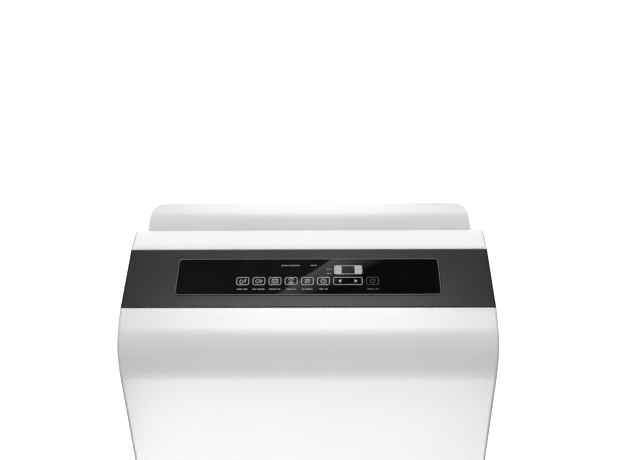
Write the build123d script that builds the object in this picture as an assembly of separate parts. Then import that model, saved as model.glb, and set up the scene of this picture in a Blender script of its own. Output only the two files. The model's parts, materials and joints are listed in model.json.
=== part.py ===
from build123d import *
import math
import os

# Portable dehumidifier. Millimetres; +X to the right, +Y to the back, +Z up.
# The origin lies on the floor below the middle of the case.

# Case
width = 392.0
depth = 280.0
height = 616.0
wall = 2.5
skirt_height = 34.0
seam = 0.25
root = 0.5

# Hood side profile, from the upright face up and back to the ridge
edge_radius = 3.5
lower_arc_radius = 105.0
lower_arc_turn = 15.0
upper_arc_radius = 44.0
facet_angle = 36.0
facet_length = 16.9
foot_radius = 20.0
band_angle = 20.8
band_length = 75.5
shoulder_radius = 40.0
strip_angle = 12.0
strip_radius = 175.0
ridge_angle = 4.0
nose_radius = 5.0
cap_drop = 28.0

# Rear cover
rear_step = 4.0
rear_radius = 14.0
rear_edge = 4.0
deck_drop = 14.0
deck_slope = 13.0
deck_pad = 11.0

# Louver flap over the air outlet
flap_length = 42.4
flap_side_gap = 5.0
flap_taper = 8.0
flap_corner = 16.0
flap_crown = 4.5
flap_thickness = 2.6
flap_open = 71.0
flap_gap = 0.6
hinge_back = 7.5
barrel_radius = 3.8
pin_radius = 2.2
pin_length = 3.5
running_gap = 0.05

# Air outlet
outlet_ledge = 6.0
outlet_side = 13.0
grille_depth = 14.0
grille_wall = 2.0
grille_lip = 6.0
grille_slats = 25
slat_thickness = 1.6
slat_foot = 3.0

# Control band, lens and keys, measured up the slope of the band
band_thickness = 2.2
band_round = 0.8
lens_width = 281.0
lens_height = 46.7
lens_foot = 16.2
lens_corner = 4.5
lens_gap = 0.15
lens_bevel = 0.9
key_width = 13.2
key_height = 9.8
key_corner = 2.0
key_gap = 0.2
key_row = 33.7
key_first = -69.4
key_pitch = 17.2
key_travel = 0.5
flange_lip = 0.8
rocker_x = 42.5
rocker_width = 31.0
rocker_gap = 0.3
pivot_overhang = 2.0
power_x = 68.7
display_row = 47.8
display_size = (31.0, 12.6)
display_margin = 1.0
board_size = (188.0, 43.0)
board_thickness = 1.6
switch_size = 5.0
post_wall = 1.2

# Bucket bay
bay_side = 28.0
bay_gap = 1.2
bucket_wall = 2.0
bucket_corner = 6.0
bucket_foot = 52.5
bucket_top = 246.0
bucket_back = -12.0
bucket_gap = 0.3
front_lip = 3.0
front_depth = 14.0
front_wall = 3.0
front_corner = 8.0
pull_size = (96.0, 26.0)
pull_drop = 14.0
pull_depth = 9.0
pull_corner = 8.0
gauge_size = (16.0, 118.0)
gauge_inset = 46.0
gauge_drop = 8.0
gauge_corner = 7.9
gauge_sink = 0.4

# Float in the bucket
float_inset = 69.0
float_size = (50.0, 28.0, 45.0)
float_corner = 5.0
float_drop = 21.0
float_set = 6.0
float_pivot_back = 14.0
float_pivot_top = 20.0
float_pin = 2.4
float_pin_gap = 0.5
float_arm = 8.0
float_arm_lip = 2.0
ear_gap = 4.0
ear_thickness = 5.0
ear_reach = 7.0

# Base pan and casters
pan_foot = 32.0
pan_rim = 58.0
pan_floor = 3.0
pan_wall = 3.0
pan_gap = 0.5
rail_inset = 44.0
rail_width = 8.0
caster_side = 44.0
caster_inset = 42.0
caster_stem = 4.0
stem_length = 14.0
stem_gap = 0.5
socket_wall = 3.5
socket_roof = 4.0
swivel_gap = 0.4
crown_radius = 15.0
crown_gap = 1.2
wheel_radius = 13.0
wheel_width = 13.0
tread_round = 1.5
caster_trail = 9.0
axle_radius = 2.0
fork_wall = 2.5
fork_gap = 0.5
cheek_lip = 5.0

# Chassis
bulkhead_y = -4.0
bulkhead_thickness = 2.5
tray_level = 266.0
tray_thickness = 3.0
tray_side = 16.0
tray_inset = 40.0
tray_rim = 10.0
tray_wall = 2.0
basin_side = 10.0
basin_gap = 4.5
channel_side = 16.0
channel_width = 34.0
channel_inset = 68.0
channel_rim = 6.0
drain_inset = 12.0
drain_radius = 6.0

# Fan, its housing and its motor
fan_room = 420.0
fan_width = 48.0
fan_blades = 36
blade_thickness = 1.2
blade_depth = 16.0
blade_set = 1.5
blade_tip = 0.8
disc_thickness = 2.0
ring_width = 3.0
hub_wall = 6.0
hub_length = 20.0
scroll_lead = 10.5
scroll_depth = 58.0
scroll_wall = 2.2
scroll_gap = 12.0
scroll_lift = 8.0
flare_height = 50.0
foot_inner = 40.0
foot_width = 18.0
wheel_gap = 4.0
inlet_lip = 18.0
bell_depth = 6.0
bell_wall = 2.0
shaft_radius = 4.0
shaft_room = 8.0
shaft_spare = 2.0
motor_radius = 44.0
motor_length = 52.0
motor_round = 8.0
bracket_thickness = 3.0
bracket_lip = 6.0
bracket_arm = 30.0
bracket_half = 9.0

# Heat exchangers
coil_room = 390.0
coil_gap = 7.0
coil_lift = 0.3
fin_pitch = 9.6
fin_thickness = 0.8
tube_pitch = 28.0
tube_radius = 4.0
tube_gap = 0.06
tube_tail = 3.0
bend_room = 36.0
bend_gap = 6.0
bend_slack = 0.2

# Refrigerant pipes
pipe_radius = 3.2
pipe_gap = 0.2
pipe_bend = 6.0
pipe_clear = 2.0
discharge_drop = 9.0
discharge_set = 40.0
suction_drop = 12.0
capillary_radius = 1.3
capillary_bend = 4.0
capillary_reach = 9.0

# Compressor
compressor_side = 116.0
compressor_margin = 15.5
compressor_height = 172.0
compressor_flange = 3.0
compressor_shell = 5.0
dome_round = 26.0
dome_depth = 40.0
port_collar = 2.5
port_height = 6.0
platform_height = 11.0
grommet_height = 8.0
grommet_radius = 9.0
grommet_inset = 12.0
accumulator_radius = 21.0
accumulator_height = 112.0
accumulator_lift = 40.0
accumulator_round = 9.0
accumulator_collar = 2.0
accumulator_port = 8.0
clip_half = 8.0
clip_height = 15.0
clip_lift = 45.0
clip_gap = 0.3

# Electrical box and condensate pump
bay_share = 0.28
box_side = 8.0
box_width = 108.0
box_height = 130.0
box_lift = 40.0
box_wall = 2.0
box_corner = 4.0
pump_gap = 4.0
pump_width = 56.0
pump_height = 48.0
pump_stub = 12.0
stub_radius = 5.0
hose_bend = 8.0

# Rear intake and filter
intake_side = 28.0
intake_trim = 12.0
intake_lift = 10.7
intake_corner = 3.0
throat_corner = 2.0
collar_corner = 4.0
filter_thickness = 5.0
filter_gap = 0.4
filter_corner = 2.6
frame_bar = 9.0
frame_rib = 4.0
mesh_thickness = 0.6
mesh_sink = 2.0
grille_room = 10.0
grille_space = 1.5
grille_corner = 1.8
grille_rim = 6.0
grille_bars = 14
bar_width = 2.0
bar_depth = 5.0
rib_width = 3.0

# Service pocket, its fittings and the cord gland
pocket_side = 20.0
pocket_width = 120.0
pocket_z = (72.0, 152.0)
pocket_depth = 23.0
port_inset = 30.0
port_radius = 8.0
port_bore = 3.2
port_length = 14.0
port_floor = 1.0
port_tail = 4.0
spout_inset = 34.0
spout_radius = 13.0
spout_bore = 8.0
spout_length = 18.0
spout_tail = 6.0
stub_gap = 0.3
plug_length = 12.0
plug_gap = 0.3
plug_rim = 2.5
plug_cap = 3.5
gland_side = 60.0
gland_z = 84.0
gland_radius = 7.0
gland_bore = 4.0
gland_rim = 3.0
gland_lip = 1.2
gland_gap = 0.1
gland_tail = 5.0

# Side grips
grip_length = 92.0
grip_height = 34.0
grip_depth = 16.0
grip_wall = 1.8
grip_lip = 4.0
grip_rim = 1.5
grip_corner = 6.0
grip_drop = 70.0

# Screws
screw_radius = 2.0
screw_head = 3.6
screw_length = 9.0
screw_lift = 15.0
screw_side = 42.0
screw_first = 60.0
screw_second = 110.0
screw_spare = 1.0
head_sink = 1.2

# Places that follow from the case
front_y = -depth / 2
back_y = depth / 2
half = width / 2
rear_half = half - rear_step
beyond = width
flap_base_half = rear_half - flap_side_gap
flap_tip_half = flap_base_half - flap_taper
bucket_half = rear_half - bay_side
front_half = bucket_half + front_lip
tray_half = rear_half - tray_side
caster_x = half - caster_side
grip_z = height - grip_drop
fan_radius = (height - fan_room) / 2


def block(x, y, z):
    """Box between its low and high value on each axis."""
    sizes = [high - low for low, high in (x, y, z)]
    middle = [(high + low) / 2 for low, high in (x, y, z)]
    return Pos(*middle) * Box(*sizes)


def rod(base, axis, radius, length):
    """Cylinder from base along axis."""
    place = Plane(origin=base, z_dir=axis)
    return place * Cylinder(radius, length, align=(Align.CENTER, Align.CENTER, Align.MIN))


def plate(place, size, corner, low, high):
    """Rounded rectangle on a plane, from one height above it to another."""
    sketch = RectangleRounded(*size, corner)
    return place * (Pos(0, 0, low) * extrude(sketch, high - low))


def pipe(points, bend, radius):
    """Round bar along a bent line."""
    path = FilletPolyline(*points, radius=bend)
    ring = Plane(origin=path @ 0, z_dir=path % 0) * Circle(radius)
    return sweep(ring, path)


def walk(start, heading, moves):
    """Edges in the side view: straight runs, turns and arcs, all turning to the right."""
    edges = []
    point = Vector(*start)
    for kind, *sizes in moves:
        ahead = Vector(math.cos(math.radians(heading)), math.sin(math.radians(heading)))
        if kind == "turn":
            heading -= sizes[0]
            continue
        if kind == "line":
            edge = Line(point, point + ahead * sizes[0])
        else:
            edge = JernArc(point, ahead, sizes[0], -sizes[1])
            heading -= sizes[1]
        edges.append(edge)
        point = edge @ 1
    return edges, point


def prism(edges, end, start, reach):
    """Side view closed along the floor side, drawn out to both sides."""
    floor_point = (end.X, start[1])
    outline = edges + [Line(end, floor_point), Line(floor_point, start)]
    return extrude(Plane.YZ * make_face(outline), reach, both=True)


def round_ends(solid, radius, sharp):
    """Round the outline of both end faces, apart from the edges that sharp picks."""
    ends = solid.faces().filter_by(Axis.X).sort_by(Axis.X)
    rim = [edge for end in (ends[0], ends[-1]) for edge in end.edges() if not sharp(edge.center())]
    return fillet(rim, radius)


# Hood profile
def hood_moves(inset):
    """Profile from the top of the upright face to the back of the ridge, set in by inset."""
    return [
        ("arc", lower_arc_radius - inset, lower_arc_turn),
        ("arc", upper_arc_radius - inset, 90 - lower_arc_turn - facet_angle),
        ("line", facet_length),
        ("arc", foot_radius - inset, facet_angle - band_angle),
        ("line", band_length),
        ("arc", shoulder_radius - inset, band_angle - strip_angle),
        ("arc", strip_radius - inset, strip_angle - ridge_angle),
        ("arc", nose_radius - inset, 90 + ridge_angle),
    ]


nose_end = walk((0, 0), 90, hood_moves(0))[1]
band_start = walk((0, 0), 90, hood_moves(0)[:4])[1]
face_top = height - nose_end.Y - nose_radius
hood_back = front_y + nose_end.X


def hood(inset, foot):
    """Solid hood with its faces set in by inset."""
    start = (front_y + inset, foot)
    edges, end = walk(start, 90, [("line", face_top - foot), *hood_moves(inset)])
    return prism(edges, end, start, half - inset)


band_plane = Plane(
    origin=(0, front_y + band_start.X, face_top + band_start.Y),
    x_dir=(1, 0, 0),
    z_dir=(0, -math.sin(math.radians(band_angle)), math.cos(math.radians(band_angle))),
)
deck_plane = Plane(
    origin=(0, hood_back, height - deck_drop),
    x_dir=(1, 0, 0),
    z_dir=(0, math.sin(math.radians(deck_slope)), math.cos(math.radians(deck_slope))),
)
hinge_point = deck_plane.from_local_coords((0, hinge_back, -barrel_radius))
hinge_plane = Plane(origin=hinge_point, x_dir=(1, 0, 0), z_dir=deck_plane.z_dir)
lens_plane = Plane(band_plane.from_local_coords(Vector(0, lens_foot + lens_height / 2, 0)), x_dir=(1, 0, 0),
                   z_dir=band_plane.z_dir)

hood_outer = round_ends(hood(0, skirt_height), edge_radius, lambda at: at.Z < skirt_height + 1)
hood_shell = hood_outer - hood(wall, skirt_height - wall)
cap_zone = band_plane * block((-beyond, beyond), (band_length, beyond), (-beyond, beyond))
cap_zone &= block((-beyond, beyond), (-depth, depth), (height - cap_drop, height + cap_drop))
cap_gap = block((-beyond, beyond), (-depth, depth), (height - cap_drop - seam, height - cap_drop))
cap_gap &= band_plane * block((-beyond, beyond), (band_length - seam, beyond), (-beyond, beyond))
band_zone = band_plane * block((-beyond, beyond), (0, band_length), (-band_thickness, beyond))

# Front cover: hood shell with a seat under the band and an opening for the bucket
seat_floor = -band_thickness - wall
seat = band_plane * block((-half + wall / 2, half - wall / 2), (-wall, band_length - seam),
                          (seat_floor, -band_thickness))
seat_window = lens_height - 2 * wall
front_cover = hood_shell + (seat & hood_outer)
front_cover -= band_zone
board_window = (board_size[0] - 4 * wall, seat_window - 2 * wall)
front_cover -= plate(lens_plane, board_window, key_corner, seat_floor - wall, 0)
front_cover -= cap_zone
front_cover -= cap_gap
rim_half = rear_half - wall - pan_gap / 2
front_cover -= block((-rim_half, rim_half), (hood_back - 2 * wall, hood_back + wall),
                     (0, height - cap_drop))
bay_middle = (bucket_foot + bucket_top) / 2 + bay_gap
front_height = bucket_top - bucket_foot + 2 * front_wall
bay_plane = Plane(origin=(0, front_y, bay_middle), x_dir=(1, 0, 0), z_dir=(0, -1, 0))
bay_size = (2 * (front_half + bay_gap), front_height + 2 * bay_gap)
front_cover -= plate(bay_plane, bay_size, front_corner + bay_gap, -2 * wall, wall)

# Ridge cap behind the band
ridge_cap = hood_shell & cap_zone
ridge_cap -= band_plane * block((-beyond, beyond), (band_length - wall, band_length + seam),
                                (-beyond, beyond))

# Control band with a bevelled window
slab = block((-half - wall, half + wall), (seam, band_length - seam), (-band_thickness, 0))
slab = fillet(slab.edges().filter_by(Axis.X).group_by(Axis.Z)[-1], band_round)
control_band = (band_plane * slab) & hood_outer
window_size = (lens_width + 2 * lens_gap, lens_height + 2 * lens_gap)
control_band -= plate(lens_plane, window_size, lens_corner + lens_gap, -2 * band_thickness, wall)
bevel_low = Pos(0, 0, -lens_bevel) * RectangleRounded(*window_size, lens_corner + lens_gap)
flare_size = (window_size[0] + 4 * lens_bevel, window_size[1] + 4 * lens_bevel)
bevel_high = Pos(0, 0, lens_bevel) * RectangleRounded(*flare_size, lens_corner + lens_gap + 2 * lens_bevel)
control_band -= lens_plane * loft([bevel_low.face(), bevel_high.face()])

# Lens with an opening for every key
key_names = ["pump", "comfort", "filter", "continuous", "turbo", "timer"]
key_places = {f"{name}_key": key_first + index * key_pitch for index, name in enumerate(key_names)}
key_places["power_key"] = power_x


def key_plane(x):
    """Plane on the lens face with its middle at a key."""
    return Plane(band_plane.from_local_coords(Vector(x, key_row, 0)), x_dir=(1, 0, 0), z_dir=band_plane.z_dir)


display_lens = plate(lens_plane, (lens_width, lens_height), lens_corner, -band_thickness, 0)
for x in key_places.values():
    opening = (key_width + 2 * key_gap, key_height + 2 * key_gap)
    display_lens -= plate(key_plane(x), opening, key_corner + key_gap, -2 * band_thickness, wall)
rocker_opening = (rocker_width + 2 * rocker_gap, key_height + 2 * rocker_gap)
display_lens -= plate(key_plane(rocker_x), rocker_opening, key_corner + rocker_gap, -2 * band_thickness, wall)

# Keys: a cap through the lens and a flange below it
flange_top = -band_thickness - key_gap / 2
flange_foot = flange_top - flange_lip


def key(x):
    """Push key with its flange behind the lens."""
    cap = plate(key_plane(x), (key_width, key_height), key_corner, flange_top, 0)
    flange = (key_width + 2 * flange_lip, key_height + 2 * flange_lip)
    return cap + plate(key_plane(x), flange, key_corner, flange_foot, flange_top)


keys = {name: key(x) for name, x in key_places.items()}

# Rocker pad on a small cross pivot
rocker_plane = key_plane(rocker_x)
pivot_level = flange_foot
pivot_radius = flange_lip
pivot_reach = key_height / 2 + pivot_overhang
pivot_base = rocker_plane.from_local_coords(Vector(0, -pivot_reach, pivot_level))
level_rocker = plate(rocker_plane, (rocker_width, key_height), key_corner, flange_top, 0)
level_rocker += rocker_plane * block((-pivot_radius, pivot_radius), (-key_height / 2, key_height / 2),
                                     (pivot_level, flange_top + key_gap))
level_rocker += rod(pivot_base, rocker_plane.y_dir, pivot_radius, 2 * pivot_reach)

# Control board with switches, display block and rocker posts
board_top = seat_floor
control_board = plate(lens_plane, board_size, key_corner, board_top - board_thickness, board_top)
switch_top = flange_foot - key_travel - key_gap / 2
switch_half = switch_size / 2
switch_places = [key_plane(x) for x in key_places.values()]
for place in switch_places:
    switch = block((-switch_half, switch_half), (-switch_half, switch_half), (board_top - root, switch_top))
    control_board += place * switch
post_reach = pivot_radius + post_wall
for side in (-1, 1):
    edge = sorted((side * (key_height / 2 + flange_lip), side * (pivot_reach + rocker_gap)))
    post = block((-post_reach, post_reach), edge, (board_top - root, pivot_level + pivot_radius / 2))
    control_board += rocker_plane * post
control_board -= rod(pivot_base - rocker_plane.y_dir * pivot_overhang, rocker_plane.y_dir,
                     pivot_radius + running_gap, 2 * (pivot_reach + pivot_overhang))
display_plane = Plane(band_plane.from_local_coords(Vector(rocker_x, display_row, 0)), x_dir=(1, 0, 0),
                      z_dir=band_plane.z_dir)
display_block = (display_size[0] - 2 * display_margin, display_size[1] - 2 * display_margin)
control_board += plate(display_plane, display_block, display_margin, board_top - root,
                       -band_thickness - key_gap)


# Louver flap, drawn closed on the deck and swung open
def flap_plan(margin, low, high):
    """Outline of the flap seen square on, grown by margin, between two heights."""
    base, tip = flap_base_half + margin, flap_tip_half + margin
    front, end = -barrel_radius - margin, flap_length + margin
    outline = Polygon((-base, front), (base, front), (tip, end), (-tip, end), align=None)
    outline = fillet(outline.vertices().group_by(Axis.Y)[-1], flap_corner + margin)
    return hinge_plane * (Pos(0, 0, low) * extrude(outline, high - low))


tip_half = flap_thickness / 2
mid_line = barrel_radius - tip_half
crown = ThreePointArc((0, barrel_radius), (flap_length / 2, barrel_radius + flap_crown),
                      (flap_length - tip_half, barrel_radius))
nose = ThreePointArc((flap_length - tip_half, barrel_radius), (flap_length, mid_line),
                     (flap_length - tip_half, mid_line - tip_half))
under = ThreePointArc((flap_length - tip_half, mid_line - tip_half),
                      (flap_length / 2, mid_line - tip_half + flap_crown), (0, mid_line - tip_half))
flap_side = make_face([crown, nose, under, Line((0, mid_line - tip_half), (0, barrel_radius))])
side_plane = Plane(origin=hinge_point, x_dir=hinge_plane.y_dir, z_dir=(1, 0, 0))
louver = extrude(side_plane * flap_side, flap_base_half, both=True)
louver &= flap_plan(0, -2 * barrel_radius, 3 * barrel_radius)
louver += rod(hinge_point - Vector(flap_base_half, 0, 0), (1, 0, 0), barrel_radius, 2 * flap_base_half)
pin_reach = flap_base_half + pin_length
louver += rod(hinge_point - Vector(pin_reach, 0, 0), (1, 0, 0), pin_radius, 2 * pin_reach)
hinge_axis = Axis(hinge_point, (1, 0, 0))
louver = louver.rotate(hinge_axis, flap_open)

# Rear cover: shell with a sunken outlet, a rear intake and a service pocket
slope = math.radians(deck_slope)


def rear(inset, front, foot):
    """Solid rear cover with its faces set in by inset."""
    radius = rear_radius - inset
    top = height - deck_drop - (front - hood_back) * math.tan(slope) - inset / math.cos(slope)
    run = (back_y - inset - front - radius * (1 - math.sin(slope))) / math.cos(slope)
    moves = [("line", top - foot), ("turn", 90 + deck_slope), ("line", run), ("arc", radius, 90 - deck_slope)]
    edges, end = walk((front, foot), 90, moves)
    solid = prism(edges, end, (front, foot), rear_half - inset)
    return round_ends(solid, rear_edge - inset, lambda at: at.Z < foot + 1 or at.Y < front + 1)


opening_front = outlet_ledge
opening_end = flap_length - outlet_ledge
opening_half = flap_tip_half - outlet_side
pad_end = hinge_back + flap_length + outlet_ledge
rear_cover = rear(0, hood_back, skirt_height) - rear(wall, hood_back - 2 * wall, skirt_height - wall)
pad_half = rear_half - wall + root
pad = deck_plane * block((-pad_half, pad_half), (0, pad_end), (-deck_pad, root - wall))
pad &= block((-beyond, beyond), (hood_back, back_y), (0, height))
rear_cover += pad
rear_cover -= flap_plan(flap_gap, barrel_radius - flap_thickness - 2 * flap_gap, 3 * barrel_radius)
groove = 2 * (flap_base_half + flap_gap)
rear_cover -= rod(hinge_point - Vector(groove / 2, 0, 0), (1, 0, 0), barrel_radius + flap_gap, groove)
bore_reach = pin_reach + flap_gap / 2
rear_cover -= rod(hinge_point - Vector(bore_reach, 0, 0), (1, 0, 0), pin_radius + running_gap, 2 * bore_reach)
rear_cover -= hinge_plane * block((-opening_half, opening_half), (opening_front, opening_end),
                                  (-2 * deck_pad, deck_pad))

# Intake collar with a seat for the filter
coil_foot = tray_level + tray_thickness + coil_lift
tube_count = 2 * int((height - coil_room) / (2 * tube_pitch))
coil_height = tube_count * tube_pitch
intake_width = 2 * (tray_half - intake_side)
intake_height = coil_height - intake_trim
intake_centre = coil_foot + coil_height / 2 + intake_lift
intake_plane = Plane(origin=(0, back_y, intake_centre), x_dir=(-1, 0, 0), z_dir=(0, 1, 0))
intake_size = (intake_width + 2 * filter_gap, intake_height + 2 * filter_gap)
collar_size = (intake_width + 4 * wall, intake_height + 4 * wall)
throat_size = (intake_width - 2 * frame_bar, intake_height - 2 * frame_bar)
collar_depth = filter_thickness + grille_room
rear_cover += plate(intake_plane, collar_size, collar_corner, -collar_depth, -wall / 2)
rear_cover -= plate(intake_plane, intake_size, intake_corner, -filter_thickness, wall)
rear_cover -= plate(intake_plane, throat_size, throat_corner, -collar_depth - wall, wall)

# Service pocket low on the back, for the drain spout and the pump outlet
pocket_floor = back_y - pocket_depth
pocket_x = (pocket_side - rear_half, pocket_side + pocket_width - rear_half)
port_x = pocket_x[0] + port_inset
spout_x = pocket_x[1] - spout_inset
gland_x = rear_half - gland_side
tub = block((pocket_x[0] - wall, pocket_x[1] + wall), (pocket_floor - wall, back_y - wall / 2),
            (pocket_z[0] - wall, pocket_z[1] + wall))
rear_cover += tub
rear_cover -= block(pocket_x, (pocket_floor, back_y + wall), pocket_z)
pocket_middle = (pocket_z[0] + pocket_z[1]) / 2
spout_base = Vector(spout_x, pocket_floor, pocket_middle)
port_base = Vector(port_x, pocket_floor, pocket_middle)
back = Vector(0, 1, 0)
for base, radius in ((spout_base, spout_bore + wall), (port_base, port_bore + wall)):
    rear_cover -= rod(base - back * 2 * wall, (0, 1, 0), radius + stub_gap, 4 * wall)
gland_base = Vector(gland_x, back_y, gland_z)
rear_cover -= rod(gland_base - back * 2 * wall, (0, 1, 0), gland_radius, 4 * wall)
rear_cover -= rod(gland_base - back * gland_lip, (0, 1, 0), gland_radius + gland_rim + stub_gap, 2 * wall)

# Grip openings in both sides
grip_y = (hood_back + back_y) / 2
for side in (-1, 1):
    grip_plane = Plane(origin=(side * rear_half, grip_y, grip_z), x_dir=(0, 1, 0), z_dir=(side, 0, 0))
    opening = (grip_length + 2 * seam, grip_height + 2 * seam)
    rear_cover -= plate(grip_plane, opening, grip_corner + seam, -2 * wall, wall)


def grip_cup(side):
    """Finger cup with a lip on the outside of the rear cover."""
    place = Plane(origin=(side * rear_half, grip_y, grip_z), x_dir=(0, 1, 0), z_dir=(side, 0, 0))
    lip = (grip_length + 2 * grip_lip, grip_height + 2 * grip_lip)
    inner = (grip_length - 2 * grip_wall, grip_height - 2 * grip_wall)
    cup = plate(place, (grip_length, grip_height), grip_corner, -grip_depth - grip_wall, 0)
    cup += plate(place, lip, grip_corner + grip_lip, 0, grip_rim)
    return cup - plate(place, inner, grip_corner - grip_wall, -grip_depth, wall)


# Outlet grille below the deck
duct_half = opening_half + grille_wall
grille_front = hinge_back + opening_front
grille_end = hinge_back + opening_end
grille_foot = -deck_pad - grille_depth
lip_end = grille_end + 2 * grille_wall
outlet_grille = deck_plane * block((-duct_half, duct_half), (grille_lip, lip_end),
                                   (-deck_pad - grille_wall, -deck_pad))
skirt_half = duct_half - grille_wall
skirt = block((-skirt_half, skirt_half), (grille_front - grille_wall, grille_end + grille_wall),
              (grille_foot, -deck_pad - root))
clear_half = skirt_half - grille_wall
clear = block((-clear_half, clear_half), (grille_front, grille_end), (grille_foot - wall, wall))
outlet_grille += deck_plane * skirt
outlet_grille -= deck_plane * clear
slat_pitch = 2 * clear_half / (grille_slats + 1)
for index in range(1, grille_slats + 1):
    x = -clear_half + index * slat_pitch
    slat = block((x - slat_thickness / 2, x + slat_thickness / 2), (grille_front - root, grille_end + root),
                 (grille_foot + slat_foot, -deck_pad - grille_wall / 2))
    outlet_grille += deck_plane * slat
cross_bar = (grille_front + grille_end - grille_wall) / 2
bar_foot = grille_foot + slat_foot + grille_wall
outlet_grille += deck_plane * block((-clear_half - root, clear_half + root),
                                    (cross_bar, cross_bar + grille_wall),
                                    (bar_foot, bar_foot + 2 * grille_wall))

# Base pan with bucket rails, caster sockets and a compressor platform
pan_half = rear_half - wall - pan_gap
pan_front = front_y + wall + pan_gap
pan_back = back_y - wall - pan_gap
base_pan = block((-pan_half, pan_half), (pan_front, pan_back), (pan_foot, pan_rim))
rear_corners = base_pan.edges().filter_by(Axis.Z).group_by(Axis.Y)[-1]
base_pan = fillet(rear_corners, rear_edge)
inner_half = pan_half - pan_wall
base_pan -= block((-inner_half, inner_half), (pan_front + pan_wall, pan_back - pan_wall),
                  (pan_foot + pan_floor, pan_rim + wall))
base_pan -= block((-front_half - bay_gap, front_half + bay_gap), (pan_front - wall, pan_front + front_depth),
                  (bucket_foot - front_wall - bay_gap, pan_rim + wall))
rail_x = bucket_half - rail_inset
for side in (-1, 1):
    rail = side * rail_x
    base_pan += block((rail - rail_width / 2, rail + rail_width / 2),
                      (front_y + front_depth + bay_gap, bucket_back),
                      (pan_foot + root, bucket_foot - bucket_gap))
floor_top = pan_foot + pan_floor
bulkhead_back = bulkhead_y + bulkhead_thickness
bay_depth = back_y - wall - bulkhead_back
compressor_x = rear_half - compressor_side
compressor_y = bulkhead_back + bay_depth / 2
compressor_radius = bay_depth / 2 - compressor_margin
base_pan += rod((compressor_x, compressor_y, pan_foot + root), (0, 0, 1), compressor_radius,
                platform_height + pan_floor - root)
caster_places = {
    "front_left": (-caster_x, front_y + caster_inset),
    "front_right": (caster_x, front_y + caster_inset),
    "rear_left": (-caster_x, back_y - caster_inset),
    "rear_right": (caster_x, back_y - caster_inset),
}
for x, y in caster_places.values():
    base_pan += rod((x, y, pan_foot), (0, 0, 1), caster_stem + socket_wall, stem_length + socket_roof)
    base_pan -= rod((x, y, pan_foot - wall), (0, 0, 1), caster_stem + running_gap,
                    stem_length + wall + stem_gap)


def caster_fork(x, y):
    """Swivel fork with its stem and a fixed axle."""
    crown_foot = 2 * wheel_radius + crown_gap
    reach = wheel_width / 2 + fork_gap
    fork = rod((x, y, crown_foot), (0, 0, 1), crown_radius, pan_foot - swivel_gap - crown_foot)
    fork += rod((x, y, crown_foot), (0, 0, 1), caster_stem, pan_foot + stem_length - crown_foot)
    for side in (-1, 1):
        cheek = sorted((x + side * reach, x + side * (reach + fork_wall)))
        fork += block(cheek, (y - cheek_lip, y + caster_trail + cheek_lip),
                      (wheel_radius - cheek_lip, crown_foot + root))
    axle_reach = reach + fork_wall / 2
    axle_end = (x - axle_reach, y + caster_trail, wheel_radius)
    return fork + rod(axle_end, (1, 0, 0), axle_radius, 2 * axle_reach)


def caster_wheel(x, y):
    """Wheel on the axle of the fork, with rounded treads."""
    wheel = rod((x - wheel_width / 2, y + caster_trail, wheel_radius), (1, 0, 0), wheel_radius, wheel_width)
    wheel = fillet(wheel.edges().filter_by(GeomType.CIRCLE), tread_round)
    bore_end = (x - wheel_width, y + caster_trail, wheel_radius)
    return wheel - rod(bore_end, (1, 0, 0), axle_radius + running_gap, 2 * wheel_width)


# Bucket with pivot ears for the float
bucket_front_y = front_y + front_depth
bucket_middle = (bucket_front_y + bucket_back) / 2
bucket_plane = Plane(origin=(0, bucket_middle, bucket_foot), x_dir=(1, 0, 0), z_dir=(0, 0, 1))
bucket_size = (2 * bucket_half, bucket_back - bucket_front_y)
bucket_inner = (bucket_size[0] - 2 * bucket_wall, bucket_size[1] - 2 * bucket_wall)
bucket = plate(bucket_plane, bucket_size, bucket_corner, 0, bucket_top - bucket_foot)
bucket -= plate(bucket_plane, bucket_inner, bucket_corner - bucket_wall, bucket_wall, bucket_top)
pivot_y = bucket_back - bucket_wall - float_pivot_back
pivot_z = bucket_top - float_pivot_top
float_half = float_size[0] / 2
float_x = float_inset - bucket_half
ear_inner = float_half + ear_gap
pin_half = ear_inner + ear_thickness
for side in (-1, 1):
    ear_x = sorted((float_x + side * ear_inner, float_x + side * pin_half))
    bucket += block(ear_x, (pivot_y - ear_reach, bucket_back - bucket_wall / 2),
                    (pivot_z - ear_reach, pivot_z + ear_reach))
bucket -= rod((float_x - pin_half, pivot_y, pivot_z), (1, 0, 0), float_pin + running_gap, 2 * pin_half)

# Float: a block on an arm with a pivot pin
float_top = pivot_z - float_drop
float_back = pivot_y - float_set
bucket_float = block((float_x - float_half, float_x + float_half), (float_back - float_size[1], float_back),
                     (float_top - float_size[2], float_top))
bucket_float = fillet(bucket_float.edges().filter_by(Axis.Z), float_corner)
bucket_float += block((float_x - float_arm, float_x + float_arm),
                      (float_back - float_arm, pivot_y + float_arm_lip),
                      (float_top - 2 * float_arm_lip, pivot_z + float_arm_lip))
pin_end = pin_half - float_pin_gap
bucket_float += rod((float_x - pin_end, pivot_y, pivot_z), (1, 0, 0), float_pin, 2 * pin_end)

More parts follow.
